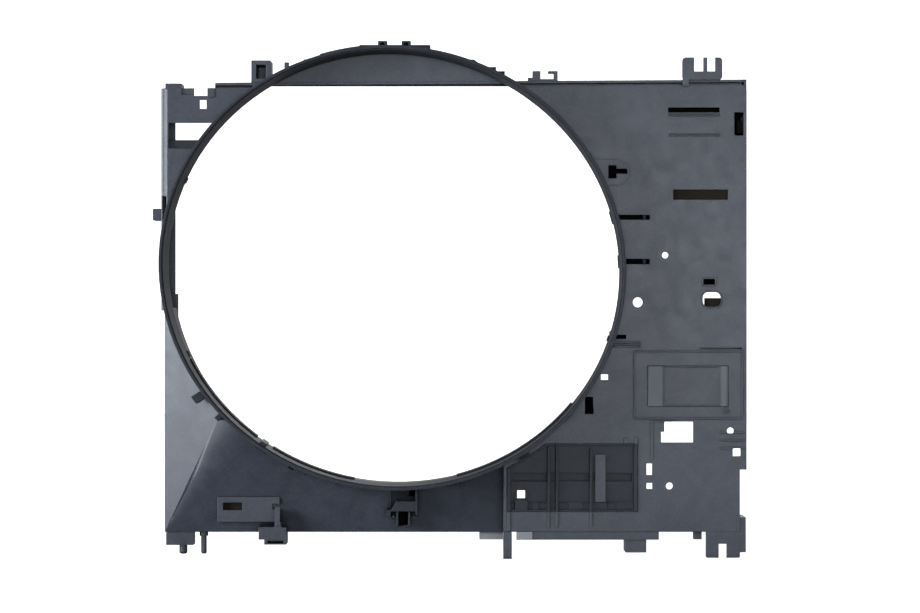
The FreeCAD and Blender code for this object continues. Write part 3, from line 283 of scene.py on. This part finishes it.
@dataclass(frozen=True)
class MouldedPlastic:
    """Injection-moulded thermoplastic with a grained face, flow clouds, paler edges that are partly worn and partly a
    painted highlight, and painted shade in its slots and corners.

    A field in _mm is the size of a pattern, or how far the shader looks round for other faces. A span holds the
    two limits that a pattern or an openness is read between. A share or a dark value is the effect at its strongest.
    """

    name: str
    colour: str
    cloud: str
    edge: str
    gloss: Gloss
    sheen: float = 0.5
    sheen_tint: str = "#eff7ff"
    ior: float = 1.49
    gloss_change: Span = (-0.03, 0.05)
    gloss_patch: Span = (0.3, 0.7)
    grain_mm: float = 0.9
    grain_depth_mm: float = 0.035
    grain_strength: float = 0.6
    grain_in_clouds: float = 0.45
    cloud_mm: float = 30.0
    cloud_span: Span = (0.5, 0.98)
    edge_mm: float = 0.9
    # Paler edges: partly wear, partly a painted highlight
    edge_turn: Span = (0.975, 0.85)
    edge_share: float = 0.55
    wear_mm: float = 7.0
    wear_span: Span = (0.35, 0.65)
    wear_least: float = 0.35
    speck: str = "#7c8088"
    speck_span: Span = (0.60, 0.80)
    speck_share: float = 0.35
    # Painted shade in recesses: how far the occlusion looks, and how dark slots, corners and crevices are painted
    painted_shade_reach_mm: float = 12.0
    corner_shade_span: Span = (0.45, 0.85)
    corner_shade_darkest: float = 0.62
    slot_shade_span: Span = (0.12, 0.45)
    slot_shade_darkest: float = 0.04
    crevice_shade_reach_mm: float = 2.4
    crevice_shade_span: Span = (0.5, 0.93)
    crevice_shade_darkest: float = 0.3

    def build(self) -> bpy.types.Material:
        """Builds the shader.

        Returns:
            The finished material.
        """
        material, tree, output = new_material(self.name)
        place = tree.nodes.new("ShaderNodeTexCoord").outputs["Object"]
        colour = self._clouds(tree, place)
        colour = self._specks(tree, place, colour)
        rounded = add_node(tree, "ShaderNodeBevel", {"samples": 4}, Radius=self.edge_mm * MM)
        # Paler edges, partly wear and partly a painted highlight
        colour = self._worn_and_highlit_edges(tree, place, colour, rounded.outputs["Normal"])
        # Painted shade in slots, inner corners and crevices
        colour = self._paint_shade_in_recesses(tree, colour)
        shader = add_node(tree, "ShaderNodeBsdfPrincipled", links={
            "Base Color": colour,
            "Roughness": self._roughness(tree, place),
            "Normal": self._grain(tree, place, rounded.outputs["Normal"]),
        }, IOR=self.ior, Specular_IOR_Level=self.sheen, Specular_Tint=linear(self.sheen_tint))
        tree.links.new(shader.outputs["BSDF"], output.inputs["Surface"])
        return material

    def _clouds(self, tree: bpy.types.NodeTree, place: bpy.types.NodeSocket) -> bpy.types.NodeSocket:
        """Mixes the resin's colour with the paler clouds that the filler leaves along the flow.

        Args:
            tree: The material's node tree.
            place: Object coordinates.

        Returns:
            The colour socket.
        """
        cloud = noise(tree, place, self.cloud_mm, detail=6.0, rough=0.62, warp=0.6)
        fine = noise(tree, place, self.grain_mm * 3.0, detail=3.0, rough=0.7)
        both = add_node(tree, "ShaderNodeMath", {"operation": "MULTIPLY_ADD"}, {0: fine, 2: cloud})
        both.inputs[1].default_value = self.grain_in_clouds
        return ramp(tree, both.outputs["Value"], self.cloud_span, (self.colour, self.cloud))

    def _specks(
        self, tree: bpy.types.NodeTree, place: bpy.types.NodeSocket, colour: bpy.types.NodeSocket
    ) -> bpy.types.NodeSocket:
        """Adds pale specks of dust and filler that lie in the grain.

        Args:
            tree: The material's node tree.
            place: Object coordinates.
            colour: The colour under the specks.

        Returns:
            The colour socket.
        """
        dots = noise(tree, place, self.grain_mm * 1.6, detail=2.0, rough=0.8)
        share = rescale(tree, dots, self.speck_span, (0.0, self.speck_share))
        return blend_colour(tree, share, colour, self.speck)

    def _worn_and_highlit_edges(
        self,
        tree: bpy.types.NodeTree,
        place: bpy.types.NodeSocket,
        colour: bpy.types.NodeSocket,
        rounded: bpy.types.NodeSocket,
    ) -> bpy.types.NodeSocket:
        """Pales the colour along sharp edges: partly wear, where handling rubs the grain smooth, and partly a painted
        highlight, where the edges catch the light.

        Args:
            tree: The material's node tree.
            place: Object coordinates.
            colour: The colour of the flat faces.
            rounded: The normal that is averaged over the edge radius.

        Returns:
            The colour socket.
        """
        flat = tree.nodes.new("ShaderNodeNewGeometry").outputs["Normal"]
        turn = add_node(tree, "ShaderNodeVectorMath", {"operation": "DOT_PRODUCT"}, {0: flat, 1: rounded})
        edge = rescale(tree, turn.outputs["Value"], self.edge_turn, (0.0, self.edge_share))
        patch = noise(tree, place, self.wear_mm, detail=4.0, rough=0.7)
        worn = rescale(tree, patch, self.wear_span, (self.wear_least, 1.0))
        return blend_colour(tree, arithmetic(tree, "MULTIPLY", edge, worn), colour, self.edge)

    def _paint_shade_in_recesses(self, tree: bpy.types.NodeTree, colour: bpy.types.NodeSocket) -> bpy.types.NodeSocket:
        """Darkens slots and inner corners by how closed in they are: painted shade, where little light gets in.

        Args:
            tree: The material's node tree.
            colour: The colour of open faces.

        Returns:
            The colour socket.
        """
        wide = add_node(tree, "ShaderNodeAmbientOcclusion", {"samples": 8}, Distance=self.painted_shade_reach_mm * MM)
        near = add_node(tree, "ShaderNodeAmbientOcclusion", {"samples": 8}, Distance=self.crevice_shade_reach_mm * MM)
        corner = rescale(tree, wide.outputs["AO"], self.corner_shade_span, (self.corner_shade_darkest, 1.0))
        slot = rescale(tree, wide.outputs["AO"], self.slot_shade_span, (self.slot_shade_darkest, 1.0))
        crevice = rescale(tree, near.outputs["AO"], self.crevice_shade_span, (self.crevice_shade_darkest, 1.0))
        # The painted shade: the colour darkened by ambient occlusion
        painted_shade = arithmetic(tree, "MULTIPLY", arithmetic(tree, "MULTIPLY", corner, slot), crevice)
        mix = add_node(tree, "ShaderNodeMix", {"data_type": "RGBA", "blend_type": "MULTIPLY"},
                       {6: colour, 7: painted_shade})
        mix.inputs[0].default_value = 1.0
        return mix.outputs[2]

    def _roughness(self, tree: bpy.types.NodeTree, place: bpy.types.NodeSocket) -> bpy.types.NodeSocket:
        """Varies the gloss a little, as the mould's face wears and the melt cools unevenly.

        Args:
            tree: The material's node tree.
            place: Object coordinates.

        Returns:
            The roughness socket.
        """
        patch = noise(tree, place, self.cloud_mm * 0.5, detail=5.0, rough=0.6)
        least, most = (self.gloss.value + change for change in self.gloss_change)
        return rescale(tree, patch, self.gloss_patch, (least, most))

    def _grain(
        self, tree: bpy.types.NodeTree, place: bpy.types.NodeSocket, rounded: bpy.types.NodeSocket
    ) -> bpy.types.NodeSocket:
        """Raises the mould's grain over the rounded edges.

        The real grain is about 0.1 mm, too fine to show, so it is drawn coarser.

        Args:
            tree: The material's node tree.
            place: Object coordinates.
            rounded: The normal that is averaged over the edge radius.

        Returns:
            The normal socket.
        """
        grain = noise(tree, place, self.grain_mm, detail=3.0, rough=0.6)
        bump = add_node(tree, "ShaderNodeBump", links={"Height": grain, "Normal": rounded},
                        Strength=self.grain_strength, Distance=self.grain_depth_mm * MM)
        return bump.outputs["Normal"]


@dataclass(frozen=True)
class BandedPlastic(MouldedPlastic):
    """Moulded plastic with paler upright bands between given limits along X."""

    band: str = "#4c515c"
    bands_mm: tuple[Span, ...] = ()
    blur_mm: float = 1.6

    def _clouds(self, tree: bpy.types.NodeTree, place: bpy.types.NodeSocket) -> bpy.types.NodeSocket:
        """Mixes the band's colour over the clouded resin between each pair of limits along X.

        Args:
            tree: The material's node tree.
            place: Object coordinates.

        Returns:
            The colour socket.
        """
        colour = super()._clouds(tree, place)
        along = add_node(tree, "ShaderNodeSeparateXYZ", links={"Vector": place}).outputs["X"]
        for start, end in self.bands_mm:
            middle = 0.5 * (start + end) * MM
            half = 0.5 * (end - start) * MM
            away = arithmetic(tree, "ABSOLUTE", arithmetic(tree, "SUBTRACT", along, middle))
            share = rescale(tree, away, (half - self.blur_mm * MM, half), (1.0, 0.0))
            colour = blend_colour(tree, share, colour, self.band)
        return colour


@dataclass(frozen=True)
class PaintedShadeResin:
    """A near-black colour on the resin inside a deep slot: painted shade, in place of the slot's depth."""

    name: str
    colour: str
    sheen: float = 0.1

    def build(self) -> bpy.types.Material:
        """Builds the shader.

        Returns:
            The finished material.
        """
        material, tree, output = new_material(self.name)
        shader = add_node(tree, "ShaderNodeBsdfPrincipled", Base_Color=linear(self.colour),
                          Roughness=Gloss.SOFT.value, Specular_IOR_Level=self.sheen)
        tree.links.new(shader.outputs["BSDF"], output.inputs["Surface"])
        return material


@dataclass(frozen=True)
class Recess:
    """A box round some faces of a node, mostly a slot's walls, in millimetres of the construction's frame."""

    left: float
    right: float
    low: float
    high: float
    front: float = -49.8
    back: float = -31.2

    def holds(self, point: Vector) -> bool:
        """Tells whether a point lies in the box.

        Args:
            point: The point, in metres.

        Returns:
            True inside the box or on its edge.
        """
        x, y, z = point / MM
        return self.left <= x <= self.right and self.front <= y <= self.back and self.low <= z <= self.high


@dataclass(frozen=True)
class CellularFoam:
    """Foam with open or closed cells, matt, with dark pores between paler cell walls."""

    name: str
    colour: str
    pore: str
    cell_mm: float
    depth_mm: float
    strength: float = 0.8
    pore_span: Span = (0.08, 0.42)
    ior: float = 1.45
    sheen: float = 0.2

    def build(self) -> bpy.types.Material:
        """Builds the shader.

        Returns:
            The finished material.
        """
        material, tree, output = new_material(self.name)
        place = tree.nodes.new("ShaderNodeTexCoord").outputs["Object"]
        cells = add_node(tree, "ShaderNodeTexVoronoi", links={"Vector": place}, Scale=per_metre(self.cell_mm))
        patch = noise(tree, place, self.cell_mm * 5.0, detail=4.0, rough=0.65)
        depth = arithmetic(tree, "MULTIPLY", cells.outputs["Distance"], patch)
        bump = add_node(tree, "ShaderNodeBump", links={"Height": depth},
                        Strength=self.strength, Distance=self.depth_mm * MM)
        shader = add_node(tree, "ShaderNodeBsdfPrincipled", links={
            "Base Color": ramp(tree, depth, self.pore_span, (self.pore, self.colour)),
            "Normal": bump.outputs["Normal"],
        }, Roughness=Gloss.SOFT.value, IOR=self.ior, Specular_IOR_Level=self.sheen)
        tree.links.new(shader.outputs["BSDF"], output.inputs["Surface"])
        return material


# Talc-filled polypropylene, moulded: a dull blue-grey with pale flow clouds
FRAME_PLASTIC = MouldedPlastic("talc_filled_polypropylene_moulded", "#292d37", "#3b404d", "#6c717c", Gloss.FINE_GRAIN)
# The same resin from a spark-eroded mould: darker and duller than the panel, with a paler lip that is partly wear and
# partly a painted highlight
COLLAR_PLASTIC = MouldedPlastic("polypropylene_moulded_satin", "#21242c", "#2c3039", "#747883", Gloss.SPARK_ERODED,
                                sheen=0.24)
# The same resin with less sheen, a shade darker than the panel around it: the darker colour is painted shade of the
# tray's shallow recess
TRAY_PLASTIC = MouldedPlastic("polypropylene_moulded_tray", "#1d2029", "#272b35", "#5c606a", Gloss.FINE_GRAIN,
                              sheen=0.25)
# The lock bar is a shade paler than the tray that it lies in
BAR_PLASTIC = MouldedPlastic("polypropylene_moulded_bar", "#2b2e36", "#393d47", "#666a74", Gloss.FINE_GRAIN)
# The cover plate is paler in two upright bands near both its ends
COVER_PLASTIC = BandedPlastic("polypropylene_moulded_cover", "#272a32", "#363a44", "#666a74", Gloss.FINE_GRAIN,
                              bands_mm=((253.0, 269.5), (326.8, 333.6)))
# Glass-filled nylon, moulded: near black, so the small clips read as dark marks
BLACK_NYLON = MouldedPlastic("glass_filled_nylon_moulded", "#111214", "#18191c", "#2a2c30", Gloss.SPARK_ERODED,
                             speck="#303236", speck_share=0.2)
# Natural nylon, moulded and aged: a cool mid grey
PALE_NYLON = MouldedPlastic("natural_nylon_moulded", "#757981", "#868a92", "#a2a5ab", Gloss.SATIN,
                            speck="#94979d", edge_share=0.3)
# Open-cell urethane foam, cut from sheet: dark brown-grey and quite matt
BROWN_FOAM = CellularFoam("urethane_foam_cut", "#29261f", "#1a1814", cell_mm=0.6, depth_mm=0.15)
# Near black on the slots' walls: painted shade in place of their depth
SLOT_WALL_PAINTED_SHADE = PaintedShadeResin("polypropylene_slot_wall_painted_shade", "#050506")
# Closed-cell rubber, extruded as a strip: black with a dry surface
BLACK_SEAL = CellularFoam("cellular_rubber_extruded", "#1f1f20", "#0c0c0c", cell_mm=0.8, depth_mm=0.25)


@dataclass
class Dresser:
    """Keeps the finished materials and puts them on the construction's nodes."""

    frame: dict[str, Any]
    ready: dict[str, bpy.types.Material] = field(default_factory=dict)

    def material(self, finish: MouldedPlastic | CellularFoam | PaintedShadeResin) -> bpy.types.Material:
        """Gives a finish's material, built once.

        Args:
            finish: The finish.

        Returns:
            Its material.
        """
        if finish.name not in self.ready:
            self.ready[finish.name] = finish.build()
        return self.ready[finish.name]

    def shade(self, node: str, recesses: tuple[Recess, ...], finish: PaintedShadeResin | MouldedPlastic) -> None:
        """Gives a node's faces inside some boxes a finish of their own.

        Args:
            node: The node's name.
            recesses: The boxes.
            finish: The finish of the faces in them.
        """
        mesh = self.frame["nodes"][node].data
        mesh.materials.append(self.material(finish))
        faces = [face for face in mesh.polygons if any(recess.holds(face.center) for recess in recesses)]
        for face in faces:
            face.material_index = len(mesh.materials) - 1
        LOG.info("%s: %d faces in recesses", node, len(faces))

    def add_piece(
        self, name: str, corners: list[Vector], faces: list[tuple[int, ...]], finish: MouldedPlastic
    ) -> None:
        """Adds a piece of the scene's own, which rides with the frame.

        Args:
            name: The piece's name.
            corners: Its corners, in metres.
            faces: Its faces, as numbers of corners.
            finish: Its finish.
        """
        mesh = bpy.data.meshes.new(name)
        mesh.from_pydata(corners, [], faces)
        mesh.materials.append(self.material(finish))
        piece = bpy.data.objects.new(name, mesh)
        bpy.context.scene.collection.objects.link(piece)
        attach(piece, "root")
        LOG.info("%s: %s", name, finish.name)

    def dress(self, node: str, finish: MouldedPlastic | CellularFoam) -> None:
        """Puts a finish on a construction node.

        Args:
            node: The node's name.
            finish: Its finish.
        """
        piece = self.frame["nodes"][node]
        piece.data.materials.clear()
        piece.data.materials.append(self.material(finish))
        LOG.info("%s: %s", node, finish.name)


# The bottom slope, in millimetres: where its foot is, how high it reaches and how far it comes forward
SLOPE_FOOT_Y = -20.0
SLOPE_FOOT_Z = -266.3
SLOPE_HEIGHT = 115.0
SLOPE_RISE = 30.0


def slope_front(height: float) -> float:
    """Gives the bottom slope's place along Y at a height, both in millimetres."""
    return SLOPE_FOOT_Y - SLOPE_RISE * (height - SLOPE_FOOT_Z) / SLOPE_HEIGHT


# The panel's slots and the notch of its left edge, which look black in the photograph
# Their walls get a near-black finish: painted shade in place of the slots' depth
PANEL_SLOTS = {
    "small_pocket": Recess(309.4, 321.4, -16.3, -10.1),
    "rib_pocket": Recess(305.6, 348.5, -81.0, -79.0),
    "upper_pocket": Recess(274.2, 326.1, 156.0, 161.3),
    "side_pocket": Recess(340.4, 350.2, 132.8, 156.6),
    "upper_hook": Recess(214.0, 256.2, 48.7, 53.9),
    "lower_hook": Recess(222.0, 256.2, 4.2, 9.9),
    "ear_square": Recess(214.4, 222.7, 90.0, 103.5),
    "ear_lug_slot": Recess(222.3, 233.5, 94.6, 100.0),
    "block_slot": Recess(220.4, 232.5, -70.6, -66.1),
    "low_slot": Recess(191.1, 199.5, -145.6, -128.2),
    "left_notch": Recess(-232.1, -227.2, 45.8, 72.9, back=-23.0),
}


@dataclass
class FrameMoulding:
    """The main moulding with the pieces that stand on its edges."""

    dresser: Dresser
    body_nodes: tuple[str, ...] = (
        "main_frame", "top_hood", "connector_socket", "post_bracket", "harness_clip", "upper_fork", "lower_fork",
        "edge_strip", "support_foot", "air_deflector", "guide_leg", "corner_bracket", "locating_pin",
        "spring_latch", "side_lug",
    )
    clip_holes: tuple[Recess, ...] = (
        Recess(4.1, 14.5, -258.0, -243.6, back=-10.0), Recess(14.8, 21.6, -230.0, -222.0, back=-10.0),
    )
    clip_edges: tuple[float, ...] = (-4.0, 24.0)
    rim_half_width: float = 0.7
    rim_heights: Span = (-251.2, -221.0)
    rim_proud: float = 0.8
    rim_sunk: float = 1.0

    def build(self) -> None:
        """Dresses the moulding and its brackets, and rims the clip's window."""
        for node in self.body_nodes:
            self.dresser.dress(node, FRAME_PLASTIC)
        self.dresser.dress("bottom_clip", TRAY_PLASTIC)
        self.dresser.dress("panel_clips", PALE_NYLON)
        # Painted shade: near black on the walls of the panel's slots and the clip's holes
        self.dresser.shade("main_frame", tuple(PANEL_SLOTS.values()), SLOT_WALL_PAINTED_SHADE)
        self.dresser.shade("bottom_clip", self.clip_holes, SLOT_WALL_PAINTED_SHADE)
        for number, x in enumerate(self.clip_edges, start=1):
            self._rim(f"clip_window_rim_{number}", x)

    def _rim(self, name: str, middle: float) -> None:
        """Lays a thin rim on the bottom slope over one upright edge of the clip's window.

        Args:
            name: The rim's name.
            middle: The edge's place along X, in millimetres.
        """
        corners = []
        for z in self.rim_heights:
            front = slope_front(z)
            for x in (middle - self.rim_half_width, middle + self.rim_half_width):
                corners += [Vector((x, y, z)) * MM for y in (front - self.rim_proud, front + self.rim_sunk)]
        sides = [(0, 1, 3, 2), (4, 6, 7, 5), (0, 2, 6, 4), (1, 5, 7, 3), (0, 4, 5, 1), (2, 3, 7, 6)]
        self.dresser.add_piece(name, corners, sides, FRAME_PLASTIC)


@dataclass
class FanCollar:
    """The oval collar, its lip strips, its clips and the hose bracket."""

    dresser: Dresser
    body_nodes: tuple[str, ...] = (
        "fan_collar", "collar_lip_right", "collar_lip_bottom", "collar_lip_left", "hose_bracket",
    )
    hook_slots: tuple[Recess, ...] = (
        Recess(220.5, 250.5, 48.7, 53.9, front=-45.0), Recess(227.0, 250.5, 4.2, 9.9, front=-45.0),
    )
    ear: Recess = Recess(203.0, 240.0, 80.0, 115.0, front=-57.0)

    def build(self) -> None:
        """Dresses the collar and what it carries."""
        for node in self.body_nodes:
            self.dresser.dress(node, COLLAR_PLASTIC)
        self.dresser.dress("collar_clips", BLACK_NYLON)
        self.dresser.shade("fan_collar", (self.ear,), FRAME_PLASTIC)
        # Painted shade: near black on the walls of the hook slots
        self.dresser.shade("fan_collar", self.hook_slots, SLOT_WALL_PAINTED_SHADE)


@dataclass
class CarrierTray:
    """The ribbed tray, its bar and the plate beside it."""

    dresser: Dresser

    def build(self) -> None:
        """Dresses the tray's pieces."""
        self.dresser.dress("carrier_tray", TRAY_PLASTIC)
        self.dresser.dress("tray_lock_bar", BAR_PLASTIC)
        self.dresser.dress("cover_plate", COVER_PLASTIC)


@dataclass
class FoamParts:
    """The foam blocks behind the openings and the strips that seal against the radiator."""

    dresser: Dresser
    blocks: tuple[str, ...] = ("foam_upper", "foam_middle", "foam_lower")
    strips: tuple[str, ...] = ("seal_left", "seal_right", "seal_bottom", "seal_upper")

    def build(self) -> None:
        """Dresses the foam."""
        for node in self.blocks:
            self.dresser.dress(node, BROWN_FOAM)
        for node in self.strips:
            self.dresser.dress(node, BLACK_SEAL)


@dataclass(frozen=True)
class Lamp:
    """A soft rectangular lamp that points at the object."""

    name: str
    place: tuple[float, float, float]
    size: Span
    watts: float

    def build(self) -> None:
        """Adds the lamp to the scene."""
        light = bpy.data.lights.new(self.name, "AREA")
        light.shape = "RECTANGLE"
        light.size, light.size_y = self.size
        light.energy = self.watts
        lamp = bpy.data.objects.new(self.name, light)
        lamp.location = self.place
        aim = Vector(TARGET_MM) * MM - Vector(self.place)
        lamp.rotation_euler = aim.to_track_quat("-Z", "Y").to_euler()
        bpy.context.scene.collection.objects.link(lamp)


# The key lamp is what the left slope mirrors, and the front lamp what the panel mirrors
LAMPS = (
    Lamp("key_lamp", (-2.3, -1.38, 0.28), (1.3, 1.1), 92.0),
    Lamp("front_lamp", (0.42, -2.7, 0.07), (1.7, 0.5), 24.0),
    Lamp("fill_lamp", (2.2, -1.5, 0.35), (1.0, 1.1), 9.0),
    Lamp("top_lamp", (0.1, -0.8, 2.6), (1.8, 1.0), 6.0),
    Lamp("back_lamp", (0.8, 2.4, 1.4), (1.6, 1.2), 30.0),
)


@dataclass
class Studio:
    """Pale floor and backdrop, soft lamps and the camera."""

    floor_height: float
    half_width: float = 6.0
    backdrop_distance: float = 3.0
    floor_share: float = 0.82
    glossy_share: float = 0.21
    unseen_colour: str = "#303030"
    world_strength: float = 0.1

    def build(self) -> None:
        """Builds the stage, the lamps, the world and the camera."""
        self._sheet("floor", self.floor_share, (
            (-self.half_width, -self.half_width, self.floor_height),
            (self.half_width, -self.half_width, self.floor_height),
            (self.half_width, self.backdrop_distance, self.floor_height),
            (-self.half_width, self.backdrop_distance, self.floor_height)))
        self._sheet("backdrop", 1.0, (
            (-self.half_width, self.backdrop_distance, self.floor_height),
            (self.half_width, self.backdrop_distance, self.floor_height),
            (self.half_width, self.backdrop_distance, self.half_width),
            (-self.half_width, self.backdrop_distance, self.half_width)))
        for lamp in LAMPS:
            lamp.build()
        self._world()
        self._camera()
        LOG.info("studio: floor at %.4f m", self.floor_height)

    def _sheet(self, name: str, white_share: float, corners: tuple[tuple[float, float, float], ...]) -> None:
        """Adds one flat sheet of the stage.

        Args:
            name: The sheet's name.
            white_share: How much plain white is added to its lit and shadowed look.
            corners: Its corners in order.
        """
        mesh = bpy.data.meshes.new(name)
        mesh.from_pydata(corners, [], [(0, 1, 2, 3)])
        sheet = bpy.data.objects.new(name, mesh)
        bpy.context.scene.collection.objects.link(sheet)
        material, tree, output = new_material(name + "_paper")
        rays = tree.nodes.new("ShaderNodeLightPath").outputs
        mirrored = arithmetic(tree, "MULTIPLY", rays["Is Glossy Ray"], self.glossy_share)
        seen = arithmetic(tree, "MAXIMUM", rays["Is Camera Ray"], mirrored)
        seen = arithmetic(tree, "MAXIMUM", seen, rays["Is Transmission Ray"])
        bright = add_node(tree, "ShaderNodeMix", {"data_type": "RGBA"}, {0: seen})
        bright.inputs[6].default_value = linear(self.unseen_colour)
        bright.inputs[7].default_value = linear(WHITE)
        paper = add_node(tree, "ShaderNodeBsdfDiffuse", links={"Color": bright.outputs[2]})
        white = add_node(tree, "ShaderNodeEmission", Color=linear(WHITE),
                         links={"Strength": arithmetic(tree, "MULTIPLY", seen, white_share)})
        both = add_node(tree, "ShaderNodeAddShader", links={0: paper.outputs["BSDF"], 1: white.outputs["Emission"]})
        tree.links.new(both.outputs["Shader"], output.inputs["Surface"])
        mesh.materials.append(material)
        sheet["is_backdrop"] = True

    def _world(self) -> None:
        """Lights the scene evenly and shows white behind it."""
        world = bpy.data.worlds.new("studio_world")
        world.use_nodes = True
        tree = world.node_tree
        tree.nodes.clear()
        output = tree.nodes.new("ShaderNodeOutputWorld")
        path = tree.nodes.new("ShaderNodeLightPath")
        even = add_node(tree, "ShaderNodeBackground", Color=linear(WHITE), Strength=self.world_strength)
        white = add_node(tree, "ShaderNodeBackground", Color=linear(WHITE), Strength=1.0)
        mix = add_node(tree, "ShaderNodeMixShader", links={
            0: path.outputs["Is Camera Ray"], 1: even.outputs["Background"], 2: white.outputs["Background"]})
        tree.links.new(mix.outputs["Shader"], output.inputs["Surface"])
        bpy.context.scene.world = world

    def _camera(self) -> None:
        """Sets the camera square on, at the photograph's distance."""
        lens = bpy.data.cameras.new("camera")
        lens.sensor_width = SENSOR_MM
        lens.lens = FOCAL_PIXELS / PHOTO_WIDTH * SENSOR_MM
        camera = bpy.data.objects.new("camera", lens)
        camera.location = Vector(CAMERA_MM) * MM
        aim = (Vector(TARGET_MM) - Vector(CAMERA_MM)) * MM
        camera.rotation_euler = aim.to_track_quat("-Z", "Y").to_euler()
        bpy.context.scene.collection.objects.link(camera)
        bpy.context.scene.camera = camera


def as_lists(bounds: Any) -> list[list[float]]:
    """Turns a box into plain lists of numbers."""
    return [[float(value) for value in corner] for corner in bounds]


def main() -> None:
    """Builds the studio with its floor at the model's lowest point, then dresses the sub-assemblies in order."""
    logging.basicConfig(level=logging.INFO, format="%(name)s %(message)s")
    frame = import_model()
    built = as_lists(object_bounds())
    bpy.context.scene.view_settings.view_transform = "Standard"
    Studio(floor_height=built[0][2]).build()
    dresser = Dresser(frame)
    for assembly in (FrameMoulding, FanCollar, CarrierTray, FoamParts):
        assembly(dresser).build()


if __name__ == "__main__":
    main()
